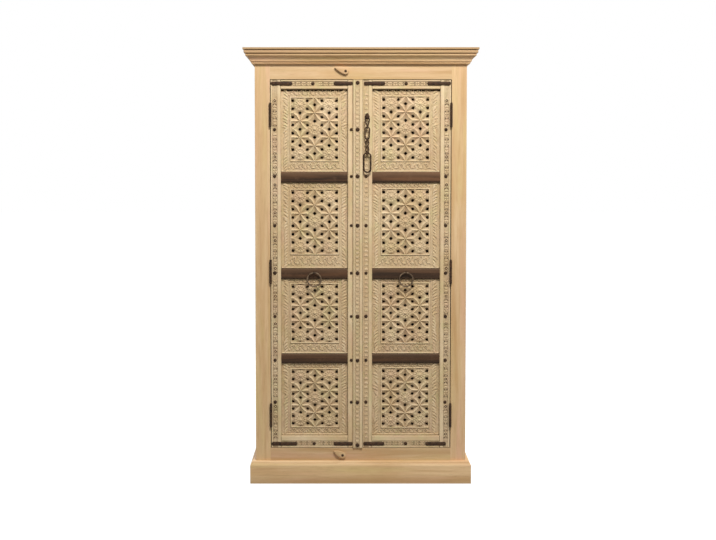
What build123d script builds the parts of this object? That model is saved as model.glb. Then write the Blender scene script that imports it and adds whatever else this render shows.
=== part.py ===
# Tall two-door cabinet: a plain case with a stepped cornice and a plinth, and two framed doors.
# Each door holds four pierced lattice (jali) panels between dark cross bars. The left door
# carries the raised centre strip, the right door a forged chain latch, and both a ring pull.
# Millimetres. +Z is up, the front faces -Y, and the origin is on the floor under the middle.

import os
from math import cos, pi, radians, sin

from build123d import *

# ------------------------------------------------------------------ driving dimensions
height = 1900
case_width = 920
case_depth = 395
cornice_out = 49  # how far the cornice stands out at the front and at both sides
plinth_out = 24

opening_half = 394.5  # half the width of the door opening
opening_low, opening_high = 153, 1766
door_gap = 2  # above and below the doors
door_inset = 3  # the doors' front lies this far behind the case's front
door_thick = 35
hinge_gap = 3.4  # between the case and a door's edge, filled by the two leaves

board = 20  # sides and shelves
frame_thick = 25  # face frame
back_thick = 12
cap_thick = 8
cornice_low = 1831
plinth_high = 99

# Heights of the doors' cross members, from the top down, as (low, high)
top_rail = (1724, opening_high - door_gap)
cross_bars = ((1319, 1364), (898, 943), (527, 567.5))
bottom_rail = (opening_low + door_gap, 207)

# Each door's edges and its panel opening, as X
left_door = {"hinge": -opening_half + hinge_gap, "opening": (-348, -57), "meeting": 8.6}
right_door = {"hinge": opening_half - hinge_gap, "opening": (50, 346), "meeting": 10.2}
centre_strip = (-34.5, 7.9)
strip_thick = 11

groove = 8  # how deep panels and stub tenons sit in the frame
panel_setback, panel_thick = 12, 18
bar_setback, bar_thick = 4, 28
carving_width, carving_depth = 22, 2  # the sunk channel that runs along stiles, rails and strip
meeting_bevel = 3.5  # lets the closing edges pass each other

# The lattice: nodes on a triangular grid, one piercing across the middle of every edge
field_half = 102.4
column_pitch = 31.8  # half the distance between two columns of nodes
field_margin = 25  # what the field's height has beyond three and a half node spacings
field_heights = ((1410, 1685), (1003, 1281), (617.5, 869.5), (248.5, 496))
star_reach, rosette_reach, web_reach = 0.36, 0.33, 0.46
throat = 0.55  # size of a piercing at the back, as a share of its mouth
rosette_radius, rosette_rise, rosette_top = 24, 2, 21.5
bead_width, bead_rise = 5, 2

# Iron
hinge_length, knuckle_radius, pin_radius, running_gap, leaf = 102, 6, 3, 0.05, 1.5
hinge_middles = (1612, 930, 299)
strap_thick, strap_height = 2.5, 17
left_door["straps"] = (
    (-390.7, -297, 1748.7),
    (-116.4, -34.9, 1748.7),
    (-390.7, -279, 171.5),
    (-118, -34.9, 171.5),
)
right_door["straps"] = (
    (13.6, 106, 1748.7),
    (288.3, 390.7, 1748.7),
    (11.8, 104, 171.5),
    (285, 375.4, 171.5),
)
stud_rise, stud_top = 5, 0.5  # a head's top is this share of its radius
stud_heights = (1549, 1346, 1132, 924, 734, 541, 356)
eye_radius, eye_wire = 6.4, 2.1
shank_radius = 2.8  # the six-sided shanks driven into the wood
ring_radius, ring_wire = 29.75, 3.25
pull_height = 925.7  # where both ring pulls pivot
pull_places = (-203.4, 198.2)
pull_stand = 9.2  # from a cross bar's face to the ring's plane

# The chain: the heights at which the middle of the wire turns over, link by link
chain_x, chain_stand, chain_wire = 28, 13, 2.5
link_1 = (1553.5, 1602)
link_2 = (1506.7, 1558.8)
link_3 = (1440.7, 1512)
latch_ring = (1363.6, 1447.6)
latch_wire = 3.25

# Turn buttons: where each is screwed on, which way its tip rests, and its length
top_button = {"pivot": (-66.1, 1801.1), "rest": 161, "length": 64}
bottom_button = {"pivot": (-79.2, 122.6), "rest": 155, "length": 57.5}
button_thick, button_radius = 11, 14
button_shares = (0, 0.3, 0.55, 0.75, 0.9)  # where its outline turns, on the way to the tip
screw_radius, screw_head = 3, 6

shelf_lows = (537, 910, 1331)
cleat = (18, 22)

# ------------------------------------------------------------------ derived places
face = cornice_out - (case_depth + cornice_out) / 2  # the case's front plane
back = face + case_depth
half = case_width / 2
inner_half = half - board
top = height - cap_thick
door_face = face + door_inset
door_back = door_face + door_thick
panel_face = door_face + panel_setback
panel_back = panel_face + panel_thick
bar_face = door_face + bar_setback
hinge_y = face - knuckle_radius - 0.5
hinge_x = opening_half - hinge_gap / 2
behind_doors = door_back + 13
strip_face = door_face - strip_thick
chain_y = door_face - chain_stand
pull_y = bar_face - pull_stand
button_y = face - 0.5
button_face = button_y - button_thick
shank_end = panel_face + 2
screw_end = face + 18

os.makedirs("parts", exist_ok=True)


def save(piece, name):
    """Labels a finished sub-part and writes its STEP file."""
    piece.part.label = name
    export_step(piece.part, f"parts/{name}.step")


def front_plane(y):
    """A plane facing the front at depth y, with X across and Z up."""
    return Plane.XZ.offset(-y)


def slab(x, y, z):
    """Adds a square-edged board between (low, high) pairs to the part being built."""
    with BuildSketch(Plane.XY.offset(z[0])) as plan:
        with Locations(((x[0] + x[1]) / 2, (y[0] + y[1]) / 2)):
            Rectangle(x[1] - x[0], y[1] - y[0])
    extrude(plan.sketch, amount=z[1] - z[0])


def planar_solid(*outlines):
    """A solid from the flat outlines of all its faces."""
    return Solid(Shell([Face(Wire.make_polygon(points, close=True)) for points in outlines]))


def frustum(x, z, surface, rise, radius, top_radius):
    """A six-sided raised head on a surface that faces the front."""
    rings = []
    for depth, reach in ((surface, radius), (surface - rise, top_radius)):
        turns = [pi * k / 3 for k in range(6)]
        rings.append([Vector(x + reach * cos(t), depth, z + reach * sin(t)) for t in turns])
    base, head = rings
    return planar_solid(base, head, *[(base[n - 1], base[n], head[n], head[n - 1]) for n in range(6)])


def save_boards(name, *boards):
    """Writes one or more plain boards as one node."""
    with BuildPart() as piece:
        for x, y, z in boards:
            slab(x, y, z)
    save(piece, name)


def both_sides(x, y, z):
    """A board and its mirror image in the middle plane."""
    return ((-x[1], -x[0]), y, z), (x, y, z)


def shank_hole(x, z, depth):
    """Cuts the hole that an iron shank is driven into, down to the given depth."""
    with BuildSketch(front_plane(depth)) as hole:
        with Locations((x, z)):
            RegularPolygon(shank_radius, 6)
    extrude(hole.sketch, amount=door_thick, mode=Mode.SUBTRACT)


# ------------------------------------------------------------------ case
def face_stile(name, side):
    """A front post, with two mortises for the rails' tenons."""
    x = sorted((side * opening_half, side * half))
    with BuildPart() as post:
        slab(x, (face, face + frame_thick), (0, top))
        with BuildSketch(Plane.YZ.offset(side * opening_half)):
            for low, high in tenon_heights:
                with Locations((face + frame_thick / 2, (low + high) / 2)):
                    Rectangle(tenon_thick, high - low)
        extrude(amount=side * tenon_long, mode=Mode.SUBTRACT)
    save(post, name)


def face_rail(name, z, tenon, button):
    """A cross member of the face frame, with a tenon at each end and a turn button's hole."""
    with BuildPart() as rail:
        slab((-opening_half, opening_half), (face, face + frame_thick), z)
        slab(
            (-opening_half - tenon_long, opening_half + tenon_long),
            (face + (frame_thick - tenon_thick) / 2, face + (frame_thick + tenon_thick) / 2),
            tenon,
        )
        shank_hole(*button["pivot"], screw_end)
    save(rail, name)


tenon_thick, tenon_long = 9, 20
top_tenon, bottom_tenon = (opening_high + 15, top - 20), (20, opening_low - 15)
tenon_heights = (bottom_tenon, top_tenon)
face_stile("face_stile_left", -1)
face_stile("face_stile_right", 1)
face_rail("face_rail_top", (opening_high, top), top_tenon, top_button)
face_rail("face_rail_bottom", (0, opening_low), bottom_tenon, bottom_button)

inside_y = (face + frame_thick, back - back_thick)
save_boards("side_left", ((-half, -inner_half), (face + frame_thick, back), (0, top)))
save_boards("side_right", ((inner_half, half), (face + frame_thick, back), (0, top)))
save_boards("top_board", ((-inner_half, inner_half), inside_y, (top - board, top)))
save_boards("bottom_board", ((-inner_half, inner_half), inside_y, (opening_low - board, opening_low)))
for name, low in zip(("shelf_lower", "shelf_middle", "shelf_upper"), shelf_lows):
    save_boards(name, ((-inner_half, inner_half), (behind_doors, inside_y[1]), (low, low + board)))

cleats = []
for low in (opening_low - board, *shelf_lows):
    run = ((inner_half - cleat[0], inner_half), (behind_doors + 10, inside_y[1]), (low - cleat[1], low))
    cleats += both_sides(*run)
save_boards("shelf_cleats", *cleats)

with BuildPart() as door_stop:  # a stepped block that the doors' top ends close against
    slab((-60, 60), (inside_y[0], door_back + 22), (opening_high, opening_high + 24))
    slab((-60, 60), (door_back + 0.5, door_back + 22), (opening_high - 16, opening_high))
save(door_stop, "door_stop")

back_count, back_gap, back_ease = 6, 0.6, 3
tongue_long, tongue_y, tongue_play = 5, (back - 8, back - 5), 0.2
with BuildPart() as back_boards:  # upright tongued boards, their outer arrises eased
    width = 2 * inner_half / back_count
    with BuildSketch(Plane.XY):
        for n in range(back_count):
            first, last = n == 0, n == back_count - 1
            left = -inner_half + n * width + (0 if first else back_gap / 2)
            right = -inner_half + (n + 1) * width - (0 if last else back_gap / 2)
            corners = [(left, back - back_thick), (right, back - back_thick)]
            if not last:
                reach = right + tongue_long
                corners += [(right, tongue_y[0]), (reach, tongue_y[0])]
                corners += [(reach, tongue_y[1]), (right, tongue_y[1])]
            corners += [(right, back - back_ease), (right - back_ease, back)]
            corners += [(left + back_ease, back), (left, back - back_ease)]
            if not first:
                low, high = tongue_y[0] - tongue_play, tongue_y[1] + tongue_play
                deep = left + tongue_long
                corners += [(left, high), (deep, high), (deep, low), (left, low)]
            Polygon(*corners, align=None)
    extrude(amount=top)
save(back_boards, "back_boards")


# ------------------------------------------------------------------ cornice and plinth
def cornice_outline(at):
    """The cornice's section. at(out, z) gives the sketch point that far out from the case."""
    with BuildLine() as section:
        bead = ThreePointArc(at(8.5, 1831), at(14, 1836.5), at(8.5, 1842))
        step = Polyline(bead @ 1, at(19, 1842), at(19, 1848), at(21, 1848))
        cove = ThreePointArc(step @ 1, at(25, 1858), at(34, 1863))
        lip = Polyline(cove @ 1, at(34, 1866), at(38, 1866), at(38, 1871), at(36, 1871), at(36, 1874))
        band = Line(lip @ 1, at(40, 1874))
        ovolo = ThreePointArc(band @ 1, at(44.5, 1880), at(43, 1888))
        Polyline(ovolo @ 1, at(41, 1888), at(41, top), at(0, top), at(0, cornice_low), bead @ 0)
    make_face(section.edges())


def plinth_outline(at):
    """The plinth's section: an upright board with a bevel, a small step and a rounded top."""
    with BuildLine() as section:
        upright = Polyline(at(0, 0), at(plinth_out, 0), at(plinth_out, 80), at(20, 89), at(17, 89))
        nose = ThreePointArc(upright @ 1, at(14.7, 96), at(8, plinth_high))
        Polyline(nose @ 1, at(0, plinth_high), upright @ 0)
    make_face(section.edges())


def mitre(side):
    """The upright plane through a front corner of the case that halves its angle."""
    return Plane(origin=(side * half, face, 0), z_dir=(-side, -1, 0))


def moulding(name, outline):
    """A moulding across the front and along both sides, mitred at the two corners."""
    reach = half + 2 * cornice_out
    with BuildPart() as front:
        with BuildSketch(Plane.YZ.offset(-reach)):
            outline(lambda out, z: (face - out, z))
        extrude(amount=2 * reach)
        split(bisect_by=mitre(-1), keep=Keep.TOP)
        split(bisect_by=mitre(1), keep=Keep.TOP)
    save(front, f"{name}_front")
    for label, side in (("left", -1), ("right", 1)):
        with BuildPart() as run:
            with BuildSketch(front_plane(back)):
                outline(lambda out, z: (side * (half + out), z))
            extrude(amount=case_depth + 2 * cornice_out)
            split(bisect_by=mitre(side), keep=Keep.BOTTOM)
        save(run, f"{name}_{label}")


moulding("cornice", cornice_outline)
moulding("plinth", plinth_outline)
cap_x = (-half - cornice_out, half + cornice_out)
save_boards("cornice_cap", (cap_x, (face - cornice_out, back), (top, height)))


# ------------------------------------------------------------------ door frames
def member_section(edge, inner, rim, bevel=0, carved=True):
    """Outline across a stile or rail as (place, depth) pairs: outer edge, carving channel, eased
    inner arris and the groove for the panels. rim is the width left outside the channel."""
    step = 1 if inner > edge else -1
    ease = 3
    near, far = edge + step * rim, edge + step * (rim + carving_width)
    deep = door_face + carving_depth
    points = [(edge, door_face)]
    if carved:
        points += [(near, door_face), (near, deep), (far, deep), (far, door_face)]
    return points + [
        (inner - step * ease, door_face),
        (inner, door_face + ease),
        (inner, panel_face),
        (inner - step * groove, panel_face),
        (inner - step * groove, panel_back),
        (inner, panel_back),
        (inner, door_back),
        (edge + step * bevel, door_back),
    ]


def stile(name, edge, inner, rim, bevel=0, carved=True, staple=None):
    """An upright of a door frame. staple is the (x, z) of a hole for an iron eye."""
    with BuildPart() as upright:
        with BuildSketch(Plane.XY.offset(bottom_rail[0])):
            Polygon(*member_section(edge, inner, rim, bevel, carved), align=None)
        extrude(amount=top_rail[1] - bottom_rail[0])
        if staple:
            shank_hole(*staple, shank_end)
    save(upright, name)


def rail(name, opening, edge, inner, rim):
    """A top or bottom rail, with stub tenons that fill the stiles' grooves."""
    step = 1 if inner > edge else -1
    with BuildPart() as member:
        with BuildSketch(Plane.YZ.offset(opening[0])):
            Polygon(*[(y, z) for z, y in member_section(edge, inner, rim)], align=None)
        extrude(amount=opening[1] - opening[0])
        stub = sorted((edge, inner - step * groove))
        for x in ((opening[0] - groove, opening[0]), (opening[1], opening[1] + groove)):
            slab(x, (panel_face, panel_back), stub)
    save(member, name)


def bars(name, opening, pull_x):
    """The dark cross bars: eased in front, grooved above and below, stub-tenoned at the ends."""
    ease = 4
    with BuildPart() as group:
        for low, high in cross_bars:
            with BuildSketch(Plane.YZ.offset(opening[0])):
                Polygon(
                    (bar_face, low + ease),
                    (bar_face + ease, low),
                    (panel_face, low),
                    (panel_face, low + groove),
                    (panel_back, low + groove),
                    (panel_back, low),
                    (bar_face + bar_thick, low),
                    (bar_face + bar_thick, high),
                    (panel_back, high),
                    (panel_back, high - groove),
                    (panel_face, high - groove),
                    (panel_face, high),
                    (bar_face + ease, high),
                    (bar_face, high - ease),
                    align=None,
                )
            extrude(amount=opening[1] - opening[0])
            for x in ((opening[0] - groove, opening[0]), (opening[1], opening[1] + groove)):
                slab(x, (panel_face, panel_back), (low + groove, high - groove))
        shank_hole(pull_x, pull_height, shank_end)
    save(group, name)


# ------------------------------------------------------------------ pierced lattice panels
def lattice(field):
    """Rosette places and piercings of one field. A piercing is four (x, z) corners round the
    middle of an edge: two towards its end nodes and two towards the triangles beside it."""
    middle = (field[0] + field[1]) / 2
    row = (field[1] - field[0] - field_margin) / 7  # half the height between two nodes
    edge_x, edge_z = field_half - 1.5, (field[1] - field[0]) / 2 - 1.5
    rosettes, piercings = [], []

    def is_rosette(column, level):
        return (level - 3 * (column % 2)) % 6 == 0

    def point(column, level):
        return 2 * column_pitch * column, row * level

    def inside(x, z):
        return abs(x) < field_half and abs(z) < edge_z

    for column in range(-2, 3):
        for level in range(-7, 8):
            if (column + level) % 2:
                continue  # no node here: odd columns are shifted by half a spacing
            if is_rosette(column, level) and inside(*point(column, level)):
                rosettes.append((point(column, level)[0], middle + point(column, level)[1]))
            for right, up, beside in ((0, 2, (1, 1)), (1, 1, (0, 2)), (1, -1, (0, -2))):
                ends = (column, level), (column + right, level + up)
                x, z = point(column + right / 2, level + up / 2)
                if not inside(x, z):
                    continue
                reach = [rosette_reach if is_rosette(*end) else star_reach for end in ends]
                third = point(column + beside[0], level + beside[1])
                web = ((third[0] - x) * web_reach / 3, (third[1] - z) * web_reach / 3)
                near, far = [
                    ((point(*end)[0] - x) * share, (point(*end)[1] - z) * share)
                    for end, share in zip(ends, reach)
                ]
                corners = []
                for dx, dz in (near, web, far, (-web[0], -web[1])):
                    clear_x = min(max(x + dx, -edge_x), edge_x)
                    clear_z = min(max(z + dz, -edge_z), edge_z)
                    corners.append((clear_x, middle + clear_z))
                piercings.append(corners)
    return rosettes, piercings


def splayed_cutter(centre_x, corners):
    """A wedge that narrows from a piercing's mouth to its throat at the panel's back."""
    mid_x = sum(x for x, _ in corners) / len(corners)
    mid_z = sum(z for _, z in corners) / len(corners)
    mouth = [Vector(centre_x + x, panel_face, z) for x, z in corners]
    middle = Vector(centre_x + mid_x, panel_back, mid_z)
    back_hole = [middle + Vector(x - mid_x, 0, z - mid_z) * throat for x, z in corners]
    flanks = [(mouth[n - 1], mouth[n], back_hole[n], back_hole[n - 1]) for n in range(len(corners))]
    return planar_solid(mouth, back_hole, *flanks)


def jali_panel(name, opening, low, high, field):
    """One pierced panel: plain border, raised bead, lattice field and rosettes."""
    centre_x = (opening[0] + opening[1]) / 2
    field_z, field_high = (field[0] + field[1]) / 2, field[1] - field[0]
    rosettes, piercings = lattice(field)
    with BuildPart() as panel:
        slab(
            (opening[0] - groove, opening[1] + groove),
            (panel_face, panel_back),
            (low - groove, high + groove),
        )
        with BuildSketch(front_plane(panel_face)):
            with Locations((centre_x, field_z)):
                Rectangle(2 * (field_half + bead_width), field_high + 2 * bead_width)
                Rectangle(2 * field_half, field_high, mode=Mode.SUBTRACT)
        extrude(amount=bead_rise)
        for x, z in rosettes:
            add(frustum(centre_x + x, z, panel_face, rosette_rise, rosette_radius, rosette_top))
        add([splayed_cutter(centre_x, corners) for corners in piercings], mode=Mode.SUBTRACT)
    save(panel, name)


def door_panels(side, opening):
    """A door's four panels, each filling the space between two cross members."""
    members = (top_rail, *cross_bars, bottom_rail)
    for n, field in enumerate(field_heights):
        jali_panel(f"{side}_jali_panel_{n + 1}", opening, members[n + 1][1], members[n][0], field)


# ------------------------------------------------------------------ ironwork
def straps(name, door):
    """Flat iron straps across the four corners of a door frame."""
    cut = 5
    with BuildPart() as group:
        for start, end, z in door["straps"]:
            with BuildSketch(front_plane(door_face)):
                with Locations(((start + end) / 2, z)):
                    plate = Rectangle(end - start, strap_height)
                    chamfer(plate.vertices(), cut)
            extrude(amount=strap_thick)
    save(group, name)


def studs(name, places):
    """Forged nail heads. Each place is (x, z, depth of the wood's surface, radius)."""
    with BuildPart() as group:
        add([frustum(x, z, depth, stud_rise, r, r * stud_top) for x, z, depth, r in places])
    save(group, name)


def knuckle(x, z, fixed):
    """Adds one eight-sided barrel of a hinge, bored for the pin: round where it turns, and
    with twelve flats where the pin is driven in."""
    with BuildSketch(Plane.XY.offset(z[0])) as barrel:
        with Locations((x, hinge_y)):
            RegularPolygon(knuckle_radius, 8, rotation=22.5)
            if fixed:
                RegularPolygon(pin_radius + running_gap, 12, major_radius=False, mode=Mode.SUBTRACT)
            else:
                Circle(pin_radius + running_gap, mode=Mode.SUBTRACT)
    extrude(barrel.sketch, amount=z[1] - z[0])


def hinge_leaves(name, sides, fixed):
    """One half of each butt hinge: a leaf in the gap at the door's edge, with its knuckles.
    The fixed half carries the two outer knuckles, the moving half the middle one."""
    third, play = hinge_length / 3, 0.3
    with BuildPart() as group:
        for side in sides:
            inner = opening_half - leaf if fixed else opening_half - hinge_gap
            x = sorted((side * inner, side * (inner + leaf)))
            for middle in hinge_middles:
                low, high = middle - hinge_length / 2, middle + hinge_length / 2
                spans = [(low + third + play, high - third - play)]
                if fixed:
                    spans = [(low, low + third), (high - third, high)]
                slab(x, (face + 1.5, face + 31), (low, high))
                for span in spans:
                    slab(x, (hinge_y + 4.5, face + 1.5), span)
                    knuckle(side * hinge_x, span, fixed)
    save(group, name)


def hinge_pins():
    """The six pins, a little longer than their barrels."""
    with BuildPart() as group:
        for middle in hinge_middles:
            with BuildSketch(Plane.XY.offset(middle - hinge_length / 2 - 1.5)):
                with Locations((-hinge_x, hinge_y), (hinge_x, hinge_y)):
                    Circle(pin_radius)
            extrude(amount=hinge_length + 3)
    save(group, "hinge_pins")


def wire_loop(x, y, heights, radii, wire, turns=(0, 0), runs=1):
    """A closed loop of six-sided wire about the upright line at (x, y): a lower and an upper
    bow whose wire middles reach the given heights, joined by two sides. turns gives the way
    each bow faces, in degrees from X, so unequal turns twist the sides round each other."""
    bow = 6
    lower = (heights[0] + radii[0], radii[0], turns[0])
    upper = (heights[1] - radii[1], radii[1], turns[1])
    path = []
    for here, there, start, side in ((upper, lower, 0, -1), (lower, upper, 180, 1)):
        stops = []
        for n in range(bow + 1):
            angle = radians(start + 180 * n / bow)
            stops.append((here[1] * cos(angle), here[0] + here[1] * sin(angle), here[2]))
        for n in range(1, runs):
            z, out, turn = [a + (b - a) * n / runs for a, b in zip(here, there)]
            stops.append((side * out, z, turn))
        for out, z, turn in stops:
            spot = Vector(x + out * cos(radians(turn)), y + out * sin(radians(turn)), z)
            if all((spot - other).length > 0.1 for other in path):
                path.append(spot)
    return tube(path, wire)


def tube(path, wire, sides=6):
    """A closed faceted tube round a loop of points, its section carried along without spin."""
    count = len(path)
    rings, normal = [], Vector(0.3, 0.5, 0.8)
    for n in range(count):
        along = (path[(n + 1) % count] - path[n - 1]).normalized()
        normal = (normal - along * normal.dot(along)).normalized()
        across = along.cross(normal)
        turns = [2 * pi * k / sides for k in range(sides)]
        rings.append([path[n] + (normal * cos(t) + across * sin(t)) * wire for t in turns])
    shift = min(range(sides), key=lambda k: (rings[0][k] - rings[-1][0]).length)
    rings.append([rings[0][(k + shift) % sides] for k in range(sides)])
    faces = []
    for here, there in zip(rings, rings[1:]):
        for k in range(sides):
            a, b, c, d = here[k], here[(k + 1) % sides], there[(k + 1) % sides], there[k]
            for corners in ((a, b, c), (a, c, d)):
                faces.append(Face(Wire.make_polygon(corners, close=True)))
    return Solid(Shell(faces))


def save_loop(name, *shape):
    """Writes one link or ring of the ironwork."""
    with BuildPart() as piece:
        add(wire_loop(*shape))
    save(piece, name)


def eye(name, x, y, z):
    """A forged eye that stands edge-on, with a shank driven into the wood."""
    with BuildPart() as staple:
        add(wire_loop(x, y, (z - eye_radius, z + eye_radius), (eye_radius,) * 2, eye_wire, (90, 90)))
        with BuildSketch(front_plane(shank_end)):
            with Locations((x, z)):
                RegularPolygon(shank_radius, 6)
        extrude(amount=shank_end - (y + eye_radius))
    save(staple, name)


# ------------------------------------------------------------------ the two doors
for side, door, pull_x in (("left", left_door, pull_places[0]), ("right", right_door, pull_places[1])):
    outer, opening, meeting = door["hinge"], door["opening"], door["meeting"]
    on_left = side == "left"
    hinge_side, meeting_side = opening if on_left else opening[::-1]
    stile(f"{side}_hinge_stile", outer, hinge_side, 6.5)
    staple = None if on_left else (chain_x, link_1[1])
    stile(f"{side}_meeting_stile", meeting, meeting_side, 3, meeting_bevel, not on_left, staple)
    rail(f"{side}_top_rail", opening, top_rail[1], top_rail[0], 6)
    rail(f"{side}_bottom_rail", opening, bottom_rail[0], bottom_rail[1], 8)
    bars(f"{side}_bars", opening, pull_x)
    door_panels(side, opening)
    straps(f"{side}_corner_straps", door)
    hinge_leaves(f"{side}_hinge_leaves", (-1 if on_left else 1,), False)
    eye(f"{side}_ring_staple", pull_x, pull_y, pull_height)
    pull_low = pull_height - 2 * ring_radius
    save_loop(f"{side}_ring", pull_x, pull_y, (pull_low, pull_height), (ring_radius,) * 2, ring_wire)

with BuildPart() as strip:  # covers the joint between the doors, carved down its middle
    left, right = centre_strip
    ease, channel = 4, (left + 8.7, left + 8.7 + carving_width)
    with BuildSketch(Plane.XY.offset(bottom_rail[0])):
        Polygon(
            (left, door_face),
            (left, strip_face + ease),
            (left + ease, strip_face),
            (channel[0], strip_face),
            (channel[0], strip_face + carving_depth),
            (channel[1], strip_face + carving_depth),
            (channel[1], strip_face),
            (right, strip_face),
            (right, door_face),
            align=None,
        )
    extrude(amount=top_rail[1] - bottom_rail[0])
save(strip, "left_centre_strip")

sunk = door_face + carving_depth
left_places = [(-374.9, z, sunk, 7) for z in stud_heights]
left_places += [(-41.5, z, door_face, 6) for z in stud_heights]
left_places += [(-14, z, strip_face + carving_depth, 8) for z in (1751, *stud_heights, 167)]
studs("left_studs", left_places + [(-207.8, 1748, sunk, 7), (-203.9, 172, sunk, 7)])
right_places = [(370.6, z, sunk, 7) for z in stud_heights]
right_places += [(23.2, z, sunk, 7) for z in stud_heights[1:]]
studs("right_studs", right_places + [(196.9, 1748, sunk, 7), (197.8, 172, sunk, 7)])

hinge_leaves("case_hinge_leaves", (-1, 1), True)
hinge_pins()

# ------------------------------------------------------------------ chain latch
eye("chain_staple", chain_x, chain_y, link_1[1])
save_loop("chain_link_1", chain_x, chain_y, link_1, (7.5, 9.5), chain_wire, (90, 0), 4)
save_loop("chain_link_2", chain_x, chain_y, link_2, (10.5, 10.5), chain_wire)
save_loop("chain_link_3", chain_x, chain_y, link_3, (7, 7), chain_wire, (90, 450), 7)
save_loop("chain_end_ring", chain_x, chain_y, latch_ring, (15.25, 15.25), latch_wire)


# ------------------------------------------------------------------ turn buttons
def turn_button(name, button):
    """A drop-shaped wooden catch, bored to turn on its screw: round behind the screw and
    drawn out to a tip in front of it."""
    x, z = button["pivot"]
    reach, turn = button["length"] - button_radius, radians(button["rest"])
    upper = [(reach * t, button_radius * (1 - t * t) ** 0.75) for t in button_shares]
    lower = [(along, -out) for along, out in upper[::-1]]
    behind = [radians(angle) for angle in range(-120, -270, -30)]
    outline = upper + [(reach, 0)] + lower
    outline += [(button_radius * cos(a), button_radius * sin(a)) for a in behind]
    corners = [
        (x + along * cos(turn) - out * sin(turn), z + along * sin(turn) + out * cos(turn))
        for along, out in outline
    ]
    with BuildPart() as piece:
        with BuildSketch(front_plane(button_y)):
            Polygon(*corners, align=None)
            with Locations((x, z)):
                Circle(screw_radius + running_gap, mode=Mode.SUBTRACT)
        extrude(amount=button_thick)
    save(piece, name)


turn_button("top_turn_button", top_button)
turn_button("bottom_turn_button", bottom_button)

with BuildPart() as screws:  # a round neck inside each button, a faceted shank in the rail
    spots = (top_button["pivot"], bottom_button["pivot"])
    with BuildSketch(front_plane(screw_end)):
        with Locations(*spots):
            RegularPolygon(shank_radius, 6)
    extrude(amount=screw_end - face)
    with BuildSketch(front_plane(face)):
        with Locations(*spots):
            Circle(screw_radius)
    extrude(amount=face - button_face + 0.3)
    with BuildSketch(front_plane(button_face - 0.3)):
        with Locations(*spots):
            RegularPolygon(screw_head, 8)
    extrude(amount=3, taper=25)
save(screws, "button_screws")
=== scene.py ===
"""Looks of a tall two-door cabinet: pale planed case, limewashed carved doors with pierced
lattice panels, dark cross bars and forged ironwork. Lengths in millimetres until a mesh is made."""

from math import atan2, copysign, cos, exp, hypot, pi, radians, sin

import bmesh
import bpy
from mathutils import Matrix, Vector, noise as ripple


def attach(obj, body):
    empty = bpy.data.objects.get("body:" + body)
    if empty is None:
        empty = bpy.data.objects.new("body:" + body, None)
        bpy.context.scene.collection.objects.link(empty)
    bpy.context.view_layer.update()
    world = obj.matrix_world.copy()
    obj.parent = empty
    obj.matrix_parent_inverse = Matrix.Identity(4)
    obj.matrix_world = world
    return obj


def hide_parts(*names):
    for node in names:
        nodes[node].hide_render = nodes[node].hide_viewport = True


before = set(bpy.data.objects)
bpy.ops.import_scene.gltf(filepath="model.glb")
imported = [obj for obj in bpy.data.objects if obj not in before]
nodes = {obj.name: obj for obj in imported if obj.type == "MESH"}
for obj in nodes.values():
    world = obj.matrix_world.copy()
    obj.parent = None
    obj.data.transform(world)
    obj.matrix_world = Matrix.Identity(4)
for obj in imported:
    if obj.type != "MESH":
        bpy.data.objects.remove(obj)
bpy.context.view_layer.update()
scene = bpy.context.scene
scene.view_settings.view_transform = "Standard"
MM = 0.001


def shown(name, data):
    """A new object in the scene."""
    made = bpy.data.objects.new(name, data)
    scene.collection.objects.link(made)
    return made


# ---- camera and lamps
camera = shown("camera", bpy.data.cameras.new("camera"))
camera.location = (-0.0665, -5.973, 1.3594)
tilt_down = radians(3.004)  # the rest of the framing is shift, small enough for every other view
camera.rotation_euler = (pi / 2 - tilt_down, 0, 0)
camera.data.lens = 66.94
camera.data.shift_x, camera.data.shift_y = 0.0175, -0.0375
scene.camera = camera


def soft_lamp(name, place, target, size, watts, colour):
    """A rectangular soft box that points at the target."""
    lamp = shown(name, bpy.data.lights.new(name, "AREA"))
    lamp.data.shape = "RECTANGLE"
    lamp.data.size, lamp.data.size_y = size
    lamp.data.energy = watts
    lamp.data.color = colour
    lamp.location = place
    lamp.rotation_euler = (Vector(target) - Vector(place)).to_track_quat("-Z", "Y").to_euler()


soft_lamp("key_light", (0.5, -2.45, 3.95), (0, 0, 1.45), (1.1, 0.7), 130, (1, 0.985, 0.96))
soft_lamp("side_light", (2.8, -3.2, 2.4), (0, 0, 1.2), (2.0, 2.0), 8, (1, 0.99, 0.98))
soft_lamp("back_light", (-1.6, 3.4, 3.0), (0, 0, 1.1), (1.8, 1.8), 70, (1, 0.99, 0.98))
soft_lamp("end_light", (3.1, 0.5, 3.1), (0, 0.1, 1.0), (1.6, 1.6), 45, (1, 0.99, 0.98))


# ---- node helpers
def add(tree, kind, inputs=None, **settings):
    """Adds a node. Each input is set to a value, or linked where it is another socket."""
    node = tree.nodes.new(kind)
    for name, value in settings.items():
        setattr(node, name, value)
    for socket, value in (inputs or {}).items():
        if isinstance(value, bpy.types.NodeSocket):
            tree.links.new(value, node.inputs[socket])
        else:
            node.inputs[socket].default_value = value
    return node


def calc(tree, operation, first, second):
    """A sum on two numbers."""
    return add(tree, "ShaderNodeMath", {0: first, 1: second}, operation=operation).outputs[0]


def times(tree, first, second):
    """The product of two numbers."""
    return calc(tree, "MULTIPLY", first, second)


def span(tree, value, low, high):
    """Stretches the range low to high onto 0 to 1."""
    limits = {"Value": value, "From Min": low, "From Max": high}
    return add(tree, "ShaderNodeMapRange", limits).outputs[0]


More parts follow.
